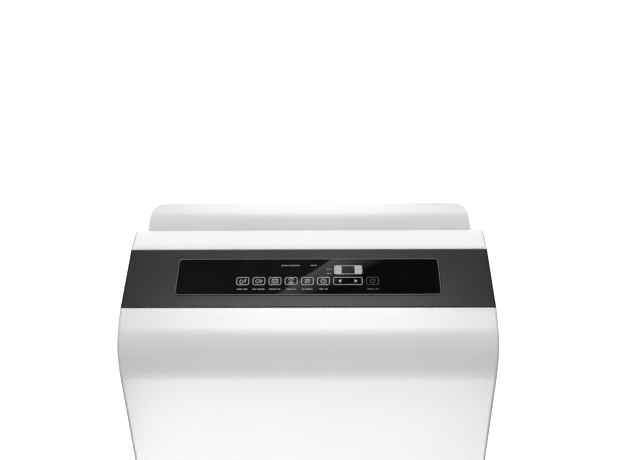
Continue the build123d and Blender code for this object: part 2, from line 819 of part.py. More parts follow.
# Bucket front panel with a finger pull and a level window
front_size = (2 * front_half, front_height)
bucket_front = plate(bay_plane, front_size, front_corner, -front_depth, 0)
front_inner = (front_size[0] - 2 * front_wall, front_size[1] - 2 * front_wall)
bucket_front -= plate(bay_plane, front_inner, front_corner - front_wall, -front_depth - wall, -front_wall)
pull_z = bay_middle + front_height / 2 - pull_size[1] / 2 - pull_drop
pull_plane = Plane(origin=(0, front_y, pull_z), x_dir=(1, 0, 0), z_dir=(0, -1, 0))
pull_outer = (pull_size[0] + 2 * bucket_wall, pull_size[1] + 2 * bucket_wall)
bucket_front += plate(pull_plane, pull_outer, pull_corner + bucket_wall, -pull_depth - bucket_wall,
                      -front_wall / 2)
bucket_front -= plate(pull_plane, pull_size, pull_corner, -pull_depth, wall)
gauge_x = bucket_half - gauge_inset
gauge_plane = Plane(origin=(gauge_x, front_y, bay_middle - gauge_drop), x_dir=(1, 0, 0), z_dir=(0, -1, 0))
bucket_front -= plate(gauge_plane, gauge_size, gauge_corner, -front_depth, wall)
gauge_fit = (gauge_size[0] - 2 * seam, gauge_size[1] - 2 * seam)
level_window = plate(gauge_plane, gauge_fit, gauge_corner - seam, -front_wall, -gauge_sink)

# Bulkhead between the bucket bay and the machine bay
bulkhead = block((-tray_half, tray_half), (bulkhead_y, bulkhead_back), (floor_top, tray_level))

# Drip tray with a rimmed basin and a covered channel to the bucket
scroll_front = hood_back - scroll_lead
duct_back = scroll_front + scroll_depth
coil_space = back_y - collar_depth - duct_back
fin_depth = (coil_space - 3 * coil_gap) / 2
condenser_y = duct_back + coil_gap + fin_depth / 2
evaporator_y = condenser_y + fin_depth + coil_gap
tray_top = tray_level + tray_thickness
basin_half = tray_half - basin_side
basin_front = condenser_y - fin_depth / 2 - basin_gap
basin_back = evaporator_y + fin_depth / 2 + basin_gap
channel = (channel_side - basin_half, channel_side + channel_width - basin_half)
channel_front = front_y + channel_inset
channel_mid = (channel[0] + channel[1]) / 2
drip_tray = block((-tray_half, tray_half), (front_y + tray_inset, basin_back), (tray_level, tray_top))
drip_tray += block((-basin_half, basin_half), (basin_front, basin_back),
                   (tray_top - root, tray_top + tray_rim))
drip_tray += block(channel, (channel_front, basin_front + tray_wall),
                   (tray_top - root, tray_top + channel_rim))
drip_tray -= block((tray_wall - basin_half, basin_half - tray_wall),
                   (basin_front + tray_wall, basin_back - tray_wall), (tray_top, tray_top + tray_rim + wall))
drip_tray -= block((channel[0] + tray_wall, channel[1] - tray_wall),
                   (channel_front + tray_wall, basin_front + 2 * tray_wall),
                   (tray_top, tray_top + channel_rim - tray_wall))
drip_tray -= rod((channel_mid, channel_front + drain_inset, tray_level - wall), (0, 0, 1), drain_radius,
                 tray_thickness + wall + root)

# Fan housing with a flared duct up to the outlet
chamber = fan_radius + scroll_gap
fan_z = tray_top + scroll_lift + scroll_wall + chamber


def fan_rod(start, radius, length):
    """Cylinder on the fan's axis, from one place towards the back."""
    return rod((0, start, fan_z), (0, 1, 0), radius, length)


def scroll_shape(inset):
    """Front view of the housing: round chamber and flared duct."""
    radius = chamber + scroll_wall - inset
    reach = duct_half - inset
    shoulder = fan_z + radius
    flare_top = shoulder + flare_height
    flank = [(radius, fan_z), (radius, shoulder), (reach, flare_top), (reach, height)]
    mirrored = [(-x, z) for x, z in reversed(flank)]
    return Pos(0, fan_z) * Circle(radius) + Polygon(*flank, *mirrored, align=None)


def scroll_slice(start, inset, length):
    """Part of the housing's shape, from one place towards the back."""
    place = Plane(origin=(0, start, 0), x_dir=(1, 0, 0), z_dir=(0, -1, 0))
    return place * extrude(scroll_shape(inset), -length)


above_duct = deck_plane * block((-beyond, beyond), (-depth, depth), (grille_foot, beyond))
cover_front = duct_back - scroll_wall
fan_scroll = scroll_slice(scroll_front, 0, scroll_depth - scroll_wall)
fan_scroll -= scroll_slice(scroll_front + scroll_wall, scroll_wall, scroll_depth)
for side in (-1, 1):
    foot_x = sorted((side * foot_inner, side * (foot_inner + foot_width)))
    foot = block(foot_x, (scroll_front, cover_front), (tray_top, fan_z))
    fan_scroll += foot - fan_rod(scroll_front - wall, chamber + scroll_wall / 2, scroll_depth + 2 * wall)
fan_scroll -= fan_rod(scroll_front - wall, shaft_radius + shaft_room, 2 * wall + scroll_wall)
fan_scroll -= above_duct
inlet_radius = fan_radius - inlet_lip
scroll_cover = scroll_slice(cover_front, 0, scroll_wall) - above_duct
scroll_cover += fan_rod(cover_front - bell_depth, inlet_radius + bell_wall, bell_depth + root)
scroll_cover -= fan_rod(cover_front - bell_depth - wall, inlet_radius, bell_depth + 3 * wall)

# Fan motor on a three-armed bracket in front of the housing
bracket_front = scroll_front - bracket_thickness
arm_reach = motor_radius + bracket_arm
motor_bracket = fan_rod(bracket_front, motor_radius + bracket_lip, bracket_thickness)
arm = block((0, arm_reach), (bracket_front, scroll_front), (-bracket_half, bracket_half))
arm += rod((arm_reach, bracket_front, 0), (0, 1, 0), bracket_half, bracket_thickness)
for turn in (90, 210, 330):
    motor_bracket += Pos(0, 0, fan_z) * (Rot(0, -turn, 0) * arm)
motor_bracket -= fan_rod(bracket_front - wall, shaft_radius + shaft_room, bracket_thickness + 2 * wall)
motor_front = bracket_front - motor_length
fan_motor = fan_rod(motor_front, motor_radius, motor_length)
fan_motor = fillet(fan_motor.edges().filter_by(GeomType.CIRCLE).group_by(Axis.Y)[0], motor_round)
fan_motor -= fan_rod(motor_front + motor_round, shaft_radius + running_gap, motor_length)

# Fan wheel with straight blades, on the motor shaft
wheel_front = scroll_front + scroll_wall + wheel_gap
wheel_back = wheel_front + fan_width
shaft_start = motor_front + motor_round + root
fan_shaft = fan_rod(shaft_start, shaft_radius, wheel_front + hub_length + shaft_spare - shaft_start)
fan_wheel = fan_rod(wheel_front, fan_radius, disc_thickness)
fan_wheel += fan_rod(wheel_front, shaft_radius + hub_wall, hub_length)
ring = fan_rod(wheel_back - ring_width, fan_radius, ring_width)
fan_wheel += ring - fan_rod(wheel_back - ring_width - wall, fan_radius - blade_depth, ring_width + 2 * wall)
blade = block((fan_radius - blade_depth + blade_set, fan_radius - blade_tip),
              (wheel_front + root, wheel_back - root), (-blade_thickness / 2, blade_thickness / 2))
fan_wheel += [Pos(0, 0, fan_z) * (Rot(0, 360 / fan_blades * index, 0) * blade) for index in range(fan_blades)]
fan_wheel -= fan_rod(wheel_front - wall, shaft_radius + running_gap / 2, hub_length + 2 * wall)

# Heat exchangers: fin packs on serpentine tubes
tube_levels = [coil_foot + tube_pitch * (index + 0.5) for index in range(tube_count)]
fin_count = int(2 * (tray_half - bend_room) / fin_pitch) + 1
fin_half = (fin_count - 1) * fin_pitch / 2
bend_reach = fin_half + bend_gap + tube_pitch / 2
tube_end = bend_reach + tube_tail


def fin_pack(y):
    """Upright fins with a hole for every tube."""
    outline = Pos(y, coil_foot + coil_height / 2) * Rectangle(fin_depth, coil_height)
    for level in tube_levels:
        outline -= Pos(y, level) * Circle(tube_radius + tube_gap)
    fin = extrude(Plane.YZ * outline, fin_thickness)
    return Compound(children=[Pos(index * fin_pitch - fin_half, 0, 0) * fin for index in range(fin_count)])


def serpentine(y):
    """One tube to and fro through the fins; both ends leave on the right."""
    points = [(tube_end, y, tube_levels[0])]
    for index, level in enumerate(tube_levels[:-1]):
        side = -1 if index % 2 == 0 else 1
        points += [(side * bend_reach, y, level), (side * bend_reach, y, tube_levels[index + 1])]
    points.append((tube_end, y, tube_levels[-1]))
    return pipe(points, tube_pitch / 2 - bend_slack, tube_radius)


# Compressor on rubber grommets, with its accumulator
up = Vector(0, 0, 1)
compressor_foot = floor_top + platform_height + grommet_height
compressor_top = compressor_foot + compressor_height
compressor_base = Vector(compressor_x, compressor_y, compressor_foot)
drum_radius = compressor_radius - compressor_flange
drum = rod(compressor_base, up, drum_radius, compressor_height)
compressor = fillet(drum.edges().filter_by(GeomType.CIRCLE).group_by(Axis.Z)[-1], dome_round)
compressor += rod(compressor_base, up, compressor_radius, compressor_flange)
compressor += rod(compressor_base + up * (compressor_height - root), up, pipe_radius + port_collar,
                  port_height + root)
compressor -= rod(compressor_base + up * grommet_height, up, drum_radius - compressor_shell,
                  compressor_height - dome_depth)
grommets = []
for turn in (30, 150, 270):
    across = Vector(math.cos(math.radians(turn)), math.sin(math.radians(turn)), 0)
    grommet_base = compressor_base + across * (compressor_radius - grommet_inset) - up * grommet_height
    grommets.append(rod(grommet_base, up, grommet_radius, grommet_height))
compressor_grommets = Compound(children=grommets)
accumulator_x = compressor_x + compressor_radius + accumulator_radius
accumulator_base = Vector(accumulator_x, compressor_y, compressor_foot + accumulator_lift)
accumulator_top = accumulator_base.Z + accumulator_height
accumulator = rod(accumulator_base, up, accumulator_radius, accumulator_height)
accumulator = fillet(accumulator.edges().filter_by(GeomType.CIRCLE), accumulator_round)
accumulator += rod(accumulator_base + up * (accumulator_height - root), up, pipe_radius + accumulator_collar,
                   accumulator_port + root)
clip_foot = accumulator_base.Z + clip_lift
clip = block((compressor_x + drum_radius - wall, accumulator_x),
             (compressor_y - clip_half, compressor_y + clip_half), (clip_foot, clip_foot + clip_height))
accumulator += clip - rod(compressor_base, up, drum_radius + clip_gap, compressor_height)

# Refrigerant pipes beside the coils
pipe_x = tray_half + pipe_clear + pipe_radius
condenser_tubes = serpentine(condenser_y)
evaporator_tubes = serpentine(evaporator_y)
joint_x = tube_end + pipe_gap
discharge_y = condenser_y - discharge_set
discharge_z = tray_level - discharge_drop
suction_z = tray_level - suction_drop
capillary_x = tube_end + capillary_reach
capillary_z = tube_levels[tube_count // 2 - 1]
discharge_pipe = pipe(
    [
        (compressor_x, compressor_y, compressor_top + port_height + pipe_gap),
        (compressor_x, compressor_y, discharge_z),
        (compressor_x, discharge_y, discharge_z),
        (pipe_x, discharge_y, discharge_z),
        (pipe_x, discharge_y, tube_levels[-1]),
        (pipe_x, condenser_y, tube_levels[-1]),
        (joint_x, condenser_y, tube_levels[-1]),
    ],
    pipe_bend,
    pipe_radius,
)
suction_pipe = pipe(
    [
        (accumulator_x, compressor_y, accumulator_top + accumulator_port + pipe_gap),
        (accumulator_x, compressor_y, suction_z),
        (pipe_x, compressor_y, suction_z),
        (pipe_x, evaporator_y, suction_z),
        (pipe_x, evaporator_y, tube_levels[0]),
        (joint_x, evaporator_y, tube_levels[0]),
    ],
    pipe_bend,
    pipe_radius,
)
capillary_tube = pipe(
    [
        (joint_x, condenser_y, tube_levels[0]),
        (capillary_x, condenser_y, tube_levels[0]),
        (capillary_x, condenser_y, capillary_z),
        (capillary_x, evaporator_y, capillary_z),
        (capillary_x, evaporator_y, tube_levels[-1]),
        (joint_x, evaporator_y, tube_levels[-1]),
    ],
    capillary_bend,
    capillary_radius,
)

# Electrical box and condensate pump
share = bay_share * bay_depth
box_x = (box_side - tray_half, box_side + box_width - tray_half)
box_z = (floor_top + box_lift, floor_top + box_lift + box_height)
electrical_box = block(box_x, (bulkhead_back, bulkhead_back + share), box_z)
electrical_box = fillet(electrical_box.edges().filter_by(Axis.Y), box_corner)
electrical_box -= block((box_x[0] + box_wall, box_x[1] - box_wall),
                        (bulkhead_back - wall, bulkhead_back + share - box_wall),
                        (box_z[0] + box_wall, box_z[1] - box_wall))
pump_y = bulkhead_back + share + pump_gap
pump_middle = pump_y + share / 2
pump_top = floor_top + pump_height
condensate_pump = block((port_x - pump_width / 2, port_x + pump_width / 2), (pump_y, pump_y + share),
                        (floor_top, pump_top))
condensate_pump = fillet(condensate_pump.edges().filter_by(Axis.Z), box_corner)
condensate_pump += rod((port_x, pump_middle, pump_top - root), up, stub_radius, pump_stub + root)

# Rear fittings: drain spout and plug, pump outlet and hose, cord gland
spout_reach = 2 * wall + spout_tail
drain_spout = rod(spout_base, back, spout_radius, spout_length)
drain_spout += rod(spout_base - back * spout_reach, back, spout_bore + wall, spout_reach + root)
drain_spout -= rod(spout_base - back * (spout_reach + wall), back, spout_bore,
                   spout_reach + spout_length + 2 * wall)
drain_plug = rod(spout_base + back * (spout_length - plug_length), back, spout_bore - plug_gap, plug_length)
drain_plug += rod(spout_base + back * spout_length, back, spout_radius - plug_rim, plug_cap)
port_reach = 2 * wall + port_tail
pump_outlet = rod(port_base, back, port_radius, port_length)
pump_outlet += rod(port_base - back * port_reach, back, port_bore + wall, port_reach + root)
pump_outlet -= rod(port_base + back * port_floor, back, port_bore, port_length)
hose_end = port_base - back * (port_reach + pipe_gap)
pump_hose = pipe(
    [
        (port_x, pump_middle, pump_top + pump_stub + pipe_gap),
        (port_x, pump_middle, pocket_middle),
        tuple(hose_end),
    ],
    hose_bend,
    pipe_radius,
)
cord_gland = rod(gland_base - back * gland_lip, back, gland_radius + gland_rim, gland_lip)
cord_gland += rod(gland_base - back * (wall + gland_tail), back, gland_radius - gland_gap,
                  wall + gland_tail - root)
cord_gland -= rod(gland_base - back * (2 * wall + gland_tail), back, gland_bore, 3 * wall + gland_tail)

# Intake grille and the pull-out filter
grille_size = (throat_size[0] - 2 * seam, throat_size[1] - 2 * seam)
grille_back = -filter_thickness - grille_space
grille_face = (grille_back - bar_depth, grille_back)
intake_grille = plate(intake_plane, grille_size, grille_corner, *grille_face)
gap_size = (grille_size[0] - 2 * grille_rim, grille_size[1] - 2 * grille_rim)
intake_grille -= plate(intake_plane, gap_size, root, grille_face[0] - wall, grille_face[1] + wall)
gap_reach = (gap_size[0] / 2 + root, gap_size[1] / 2 + root)
bar_pitch = gap_size[1] / (grille_bars + 1)
for index in range(1, grille_bars + 1):
    level = -gap_size[1] / 2 + index * bar_pitch
    bar = block((-gap_reach[0], gap_reach[0]), (level - bar_width / 2, level + bar_width / 2), grille_face)
    intake_grille += intake_plane * bar
for across in (-1, 0, 1):
    bar_x = across * gap_size[0] / 4
    bar = block((bar_x - rib_width / 2, bar_x + rib_width / 2), (-gap_reach[1], gap_reach[1]), grille_face)
    intake_grille += intake_plane * bar
filter_frame = plate(intake_plane, (intake_width, intake_height), filter_corner, -filter_thickness, 0)
filter_frame -= plate(intake_plane, throat_size, throat_corner, -filter_thickness - wall, wall)
for across in (-1, 0, 1):
    bar_x = across * throat_size[0] / 4
    filter_frame += intake_plane * block((bar_x - frame_rib / 2, bar_x + frame_rib / 2),
                                         (-throat_size[1] / 2 - root, throat_size[1] / 2 + root),
                                         (-filter_thickness, -mesh_sink))
filter_mesh = plate(intake_plane, throat_size, throat_corner, -mesh_sink, mesh_thickness - mesh_sink)

# Case screws low on the sides and the back
screws = []
screw_level = pan_foot + screw_lift
screw_x = rear_half - screw_side
back_places = [(-screw_x, back_y, screw_level), (screw_x, back_y, screw_level)]
side_rows = (front_y + screw_first, front_y + screw_second)
side_places = [(side * half, y, screw_level) for side in (-1, 1) for y in side_rows]


def screw(place, inward):
    """Pan-head screw sunk into the cover, pointing inward."""
    return rod(place, inward, screw_head, head_sink) + rod(place, inward, screw_radius, screw_length)


for place in back_places:
    screws.append(screw(place, -back))
    rear_cover -= rod(place, -back, screw_head + seam, head_sink)
    rear_cover -= rod(place, -back, screw_radius + seam, 2 * wall)
    base_pan -= rod(place, -back, screw_radius + running_gap, screw_length + screw_spare)
for place in side_places:
    inward = (-math.copysign(1, place[0]), 0, 0)
    screws.append(screw(place, inward))
    front_cover -= rod(place, inward, screw_head + seam, head_sink)
    front_cover -= rod(place, inward, screw_radius + seam, 2 * wall)
    base_pan -= rod(place, inward, screw_radius + running_gap, screw_length + screw_spare)

nodes = {
    "front_cover": front_cover,
    "ridge_cap": ridge_cap,
    "control_band": control_band,
    "display_lens": display_lens,
    "control_board": control_board,
    "level_rocker": level_rocker,
    "louver": louver,
    "rear_cover": rear_cover,
    "outlet_grille": outlet_grille,
    "intake_grille": intake_grille,
    "filter_frame": filter_frame,
    "filter_mesh": filter_mesh,
    "grip_cup_left": grip_cup(-1),
    "grip_cup_right": grip_cup(1),
    "base_pan": base_pan,
    "bucket": bucket,
    "bucket_front": bucket_front,
    "level_window": level_window,
    "bucket_float": bucket_float,
    "bulkhead": bulkhead,
    "drip_tray": drip_tray,
    "fan_scroll": fan_scroll,
    "scroll_cover": scroll_cover,
    "motor_bracket": motor_bracket,
    "fan_motor": fan_motor,
    "fan_shaft": fan_shaft,
    "fan_wheel": fan_wheel,
    "condenser_fins": fin_pack(condenser_y),
    "condenser_tubes": condenser_tubes,
    "evaporator_fins": fin_pack(evaporator_y),
    "evaporator_tubes": evaporator_tubes,
    "compressor": compressor,
    "compressor_grommets": compressor_grommets,
    "accumulator": accumulator,
    "discharge_pipe": discharge_pipe,
    "suction_pipe": suction_pipe,
    "capillary_tube": capillary_tube,
    "electrical_box": electrical_box,
    "condensate_pump": condensate_pump,
    "pump_hose": pump_hose,
    "pump_outlet": pump_outlet,
    "drain_spout": drain_spout,
    "drain_plug": drain_plug,
    "cord_gland": cord_gland,
    "case_screws": Compound(children=screws),
    **keys,
}
for corner, (x, y) in caster_places.items():
    nodes[f"caster_fork_{corner}"] = caster_fork(x, y)
    nodes[f"caster_wheel_{corner}"] = caster_wheel(x, y)

os.makedirs("parts", exist_ok=True)
for name, shape in nodes.items():
    export_step(shape, f"parts/{name}.step")
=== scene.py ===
import json
import math

import bmesh
import bpy
from mathutils import Matrix, Vector


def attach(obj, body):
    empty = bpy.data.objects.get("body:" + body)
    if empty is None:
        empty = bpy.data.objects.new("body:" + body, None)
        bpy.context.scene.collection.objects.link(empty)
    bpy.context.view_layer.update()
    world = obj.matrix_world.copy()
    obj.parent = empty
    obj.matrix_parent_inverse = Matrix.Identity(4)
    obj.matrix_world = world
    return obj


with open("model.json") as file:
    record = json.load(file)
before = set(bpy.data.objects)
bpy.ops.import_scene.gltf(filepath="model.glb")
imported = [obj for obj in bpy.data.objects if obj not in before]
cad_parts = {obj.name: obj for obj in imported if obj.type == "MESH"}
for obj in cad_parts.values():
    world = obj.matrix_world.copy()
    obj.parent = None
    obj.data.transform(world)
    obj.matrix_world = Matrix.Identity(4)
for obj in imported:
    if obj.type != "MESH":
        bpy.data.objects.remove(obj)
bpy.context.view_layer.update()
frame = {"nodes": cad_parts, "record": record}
scene = bpy.context.scene
scene.view_settings.view_transform = "Standard"
MM = 0.001
SENSOR_WIDTH = 36


# Camera at the photograph's viewing angle
def make_camera(place, yaw, pitch, roll, lens):
    """Camera at a place, turned by yaw, looking down by pitch and rolled, all in degrees."""
    yaw, pitch, roll = (math.radians(angle) for angle in (yaw, pitch, roll))
    forward = math.cos(pitch)
    ahead = Vector((math.sin(yaw) * forward, math.cos(yaw) * forward, -math.sin(pitch)))
    level = Vector((math.cos(yaw), -math.sin(yaw), 0))
    above = level.cross(ahead)
    right = level * math.cos(roll) + above * math.sin(roll)
    up = above * math.cos(roll) - level * math.sin(roll)
    data = bpy.data.cameras.new("camera")
    data.sensor_fit = "HORIZONTAL"
    data.sensor_width = SENSOR_WIDTH
    data.lens = lens
    data.clip_start = 0.01
    camera = bpy.data.objects.new("camera", data)
    turn = Matrix((right, up, -ahead)).transposed()
    camera.matrix_world = Matrix.Translation(place) @ turn.to_4x4()
    scene.collection.objects.link(camera)
    return camera


scene.camera = make_camera(
    place=(0.01956, -0.76029, 1.07887), yaw=-1.198, pitch=31.276, roll=-0.818, lens=45.617)

# Materials
EDGE_RADIUS = 0.0008


def grey(value):
    """A neutral colour."""
    return (value, value, value)


class Nodes:
    """A material's node tree with short calls for making and joining nodes."""

    def __init__(self, name):
        self.material = bpy.data.materials.new(name)
        self.material.use_nodes = True
        self.tree = self.material.node_tree
        self.shader = self.tree.nodes["Principled BSDF"]
        self.place = self.add("ShaderNodeTexCoord").outputs["Object"]

    def add(self, kind, **settings):
        """A new node with its settings."""
        node = self.tree.nodes.new(kind)
        for key, value in settings.items():
            setattr(node, key, value)
        return node

    def join(self, source, target):
        """A link from an output to an input."""
        self.tree.links.new(source, target)

    def noise(self, scale, detail=2.0, rough=0.5):
        """Cloudy values from zero to one."""
        node = self.add("ShaderNodeTexNoise")
        node.inputs["Scale"].default_value = scale
        node.inputs["Detail"].default_value = detail
        node.inputs["Roughness"].default_value = rough
        self.join(self.place, node.inputs["Vector"])
        return node.outputs["Fac"]

    def cells(self, scale):
        """Voronoi cells."""
        node = self.add("ShaderNodeTexVoronoi")
        node.inputs["Scale"].default_value = scale
        self.join(self.place, node.inputs["Vector"])
        return node

    def spread(self, source, low, high, start=0.3, end=0.7):
        """Values from start to end, stretched to run from low to high."""
        node = self.add("ShaderNodeMapRange")
        limits = {"From Min": start, "From Max": end, "To Min": low, "To Max": high}
        for socket, value in limits.items():
            node.inputs[socket].default_value = value
        self.join(source, node.inputs["Value"])
        return node.outputs["Result"]

    def ramp(self, source, *stops):
        """Colours looked up by value, each stop a position and a colour."""
        node = self.add("ShaderNodeValToRGB")
        for element, (position, colour) in zip(node.color_ramp.elements, stops):
            element.position = position
            element.color = (*colour, 1)
        self.join(source, node.inputs["Fac"])
        return node.outputs["Color"]

    def edges(self):
        """One along edges, zero on flats: how far a rounded normal leaves the true one."""
        rounded = self.add("ShaderNodeBevel", samples=4)
        rounded.inputs["Radius"].default_value = EDGE_RADIUS
        match = self.add("ShaderNodeVectorMath", operation="DOT_PRODUCT")
        self.join(rounded.outputs["Normal"], match.inputs[0])
        self.join(self.add("ShaderNodeNewGeometry").outputs["Normal"], match.inputs[1])
        return self.spread(match.outputs["Value"], low=1, high=0, start=0.80, end=0.99)

    def edge_colour(self, flat, edge, share):
        """Base colour that turns by a share towards another along edges."""
        node = self.add("ShaderNodeMix", data_type="RGBA")
        self.join(self.spread(self.edges(), low=0, high=share, start=0, end=1), node.inputs[0])
        self.join(flat, node.inputs[6])
        node.inputs[7].default_value = (*edge, 1)
        self.colour(node.outputs[2])

    def bump(self, height, depth):
        """Fine relief in the surface, its depth in metres."""
        node = self.add("ShaderNodeBump")
        node.inputs["Strength"].default_value = 1.0
        node.inputs["Distance"].default_value = depth
        self.join(height, node.inputs["Height"])
        self.join(node.outputs["Normal"], self.shader.inputs["Normal"])

    def constants(self, **sockets):
        """Plain values on the shader's inputs."""
        for key, value in sockets.items():
            self.shader.inputs[key.replace("_", " ")].default_value = value

    def colour(self, source):
        """Base colour."""
        self.join(source, self.shader.inputs["Base Color"])

    def roughness(self, source):
        """Roughness."""
        self.join(source, self.shader.inputs["Roughness"])

    def surface(self, source):
        """Shader that the material shows instead of its own."""
        self.join(source, self.tree.nodes["Material Output"].inputs["Surface"])


def moulded(name, dark, light, worn, rough, grain, depth, **sockets):
    """Moulded plastic: faint cloudy colour, uneven gloss, a fine grain and paler edges."""
    nodes = Nodes(name)
    cloud = nodes.ramp(nodes.noise(scale=14, detail=3), (0.3, dark), (0.7, light))
    nodes.edge_colour(cloud, worn, share=0.5)
    nodes.roughness(nodes.spread(nodes.noise(scale=55, detail=4), *rough))
    nodes.bump(nodes.noise(scale=grain, detail=3), depth)
    nodes.constants(**sockets)
    return nodes.material


def white_shell():
    """Glossy white moulding with a clear skin and a very slight ripple."""
    nodes = Nodes("white_shell")
    cloud = nodes.ramp(nodes.noise(scale=7), (0.3, grey(0.765)), (0.7, (0.785, 0.785, 0.783)))
    nodes.edge_colour(cloud, grey(0.70), share=0.35)
    nodes.roughness(nodes.spread(nodes.noise(scale=40), 0.28, 0.34))
    nodes.bump(nodes.noise(scale=35, detail=0), 0.00002)
    nodes.constants(Specular_IOR_Level=0.35, Coat_Weight=1.0, Coat_Roughness=0.22)
    return nodes.material


def lens_black():
    """Deep gloss black panel with fine dust and wipe marks in its gloss."""
    nodes = Nodes("lens_black")
    dust = nodes.noise(scale=30, detail=4)
    nodes.colour(nodes.ramp(dust, (0.3, (0.0025, 0.0025, 0.0027)), (0.7, (0.0045, 0.0045, 0.0048))))
    nodes.roughness(nodes.spread(nodes.noise(scale=120, detail=5, rough=0.6), 0.015, 0.04))
    nodes.bump(nodes.noise(scale=90), 0.000004)
    nodes.constants(Specular_IOR_Level=0.38)
    return nodes.material


def metal(name, dark, light, rough, scale, depth, stretch=None):
    """Bare or plated metal with patches, uneven gloss and fine scratches."""
    nodes = Nodes(name)
    if stretch:
        mapping = nodes.add("ShaderNodeMapping")
        mapping.inputs["Scale"].default_value = stretch
        nodes.join(nodes.place, mapping.inputs["Vector"])
        nodes.place = mapping.outputs["Vector"]
    patch = nodes.ramp(nodes.noise(scale, detail=4, rough=0.6), (0.25, dark), (0.75, light))
    nodes.edge_colour(patch, light, share=0.6)
    nodes.roughness(nodes.spread(nodes.noise(scale * 4, detail=5, rough=0.65), *rough))
    nodes.bump(nodes.noise(scale * 9, detail=4, rough=0.6), depth)
    nodes.constants(Metallic=1.0)
    return nodes.material


def zinc_steel():
    """Galvanised sheet with its spangle."""
    nodes = Nodes("zinc_steel")
    shade = nodes.add("ShaderNodeSeparateColor")
    nodes.join(nodes.cells(scale=260).outputs["Color"], shade.inputs["Color"])
    tone = shade.outputs["Red"]
    nodes.colour(nodes.ramp(tone, (0.0, (0.42, 0.43, 0.45)), (1.0, (0.62, 0.63, 0.65))))
    nodes.roughness(nodes.spread(tone, 0.28, 0.5, start=0, end=1))
    nodes.bump(nodes.noise(scale=900, detail=3), 0.00001)
    nodes.constants(Metallic=1.0)
    return nodes.material


def clear(name, tint, rough, depth):
    """See-through moulding with faint flow marks."""
    nodes = Nodes(name)
    pale = tuple(min(1, value * 1.12) for value in tint)
    nodes.colour(nodes.ramp(nodes.noise(scale=18, detail=4), (0.3, tint), (0.7, pale)))
    nodes.roughness(nodes.spread(nodes.noise(scale=80, detail=4), *rough))
    nodes.bump(nodes.noise(scale=120), depth)
    nodes.constants(Transmission_Weight=0.85, IOR=1.49)
    return nodes.material


def circuit_board():
    """Green laminate with a faint pattern of tracks."""
    nodes = Nodes("board_green")
    tracks = nodes.add("ShaderNodeTexBrick")
    tracks.inputs["Scale"].default_value = 60
    tracks.inputs["Mortar Size"].default_value = 0.04
    tracks.inputs["Color1"].default_value = (0.010, 0.065, 0.028, 1)
    tracks.inputs["Color2"].default_value = (0.012, 0.080, 0.034, 1)
    tracks.inputs["Mortar"].default_value = (0.020, 0.130, 0.055, 1)
    nodes.join(nodes.place, tracks.inputs["Vector"])
    nodes.colour(tracks.outputs["Color"])
    nodes.roughness(nodes.spread(nodes.noise(scale=150, detail=3), 0.3, 0.45))
    nodes.bump(tracks.outputs["Fac"], 0.00004)
    return nodes.material


def filter_net():
    """Woven nylon net: two crossed sets of threads."""
    nodes = Nodes("filter_net")
    larger = nodes.add("ShaderNodeMath", operation="MAXIMUM")
    for direction, socket in zip("XZ", larger.inputs):
        wave = nodes.add("ShaderNodeTexWave", bands_direction=direction)
        wave.inputs["Scale"].default_value = 170
        nodes.join(nodes.place, wave.inputs["Vector"])
        nodes.join(wave.outputs["Fac"], socket)
    weave = larger.outputs["Value"]
    nodes.colour(nodes.ramp(weave, (0.45, (0.012, 0.013, 0.014)), (0.8, (0.10, 0.105, 0.11))))
    nodes.roughness(nodes.spread(nodes.noise(scale=400, detail=3), 0.5, 0.7))
    nodes.bump(weave, 0.0004)
    return nodes.material


def foam():
    """Closed-cell foam with an open-pored skin."""
    nodes = Nodes("float_foam")
    pores = nodes.cells(scale=700).outputs["Distance"]
    nodes.colour(nodes.ramp(pores, (0.1, (0.62, 0.61, 0.58)), (0.6, (0.82, 0.81, 0.78))))
    nodes.roughness(nodes.spread(nodes.noise(scale=200, detail=3), 0.75, 0.9))
    nodes.bump(pores, 0.0003)
    return nodes.material


def ink_and_painted_light(name, tone, rough=(0.45, 0.6), **sockets):
    """Screen-print ink, slightly uneven; also used for painted highlights and a painted shadow."""
    nodes = Nodes(name)
    thin = tuple(value * 0.86 for value in tone)
    nodes.colour(nodes.ramp(nodes.noise(scale=900, detail=3), (0.3, thin), (0.7, tone)))
    nodes.roughness(nodes.spread(nodes.noise(scale=300, detail=3), *rough))
    nodes.bump(nodes.noise(scale=2500), 0.000004)
    nodes.constants(**sockets)
    return nodes.material


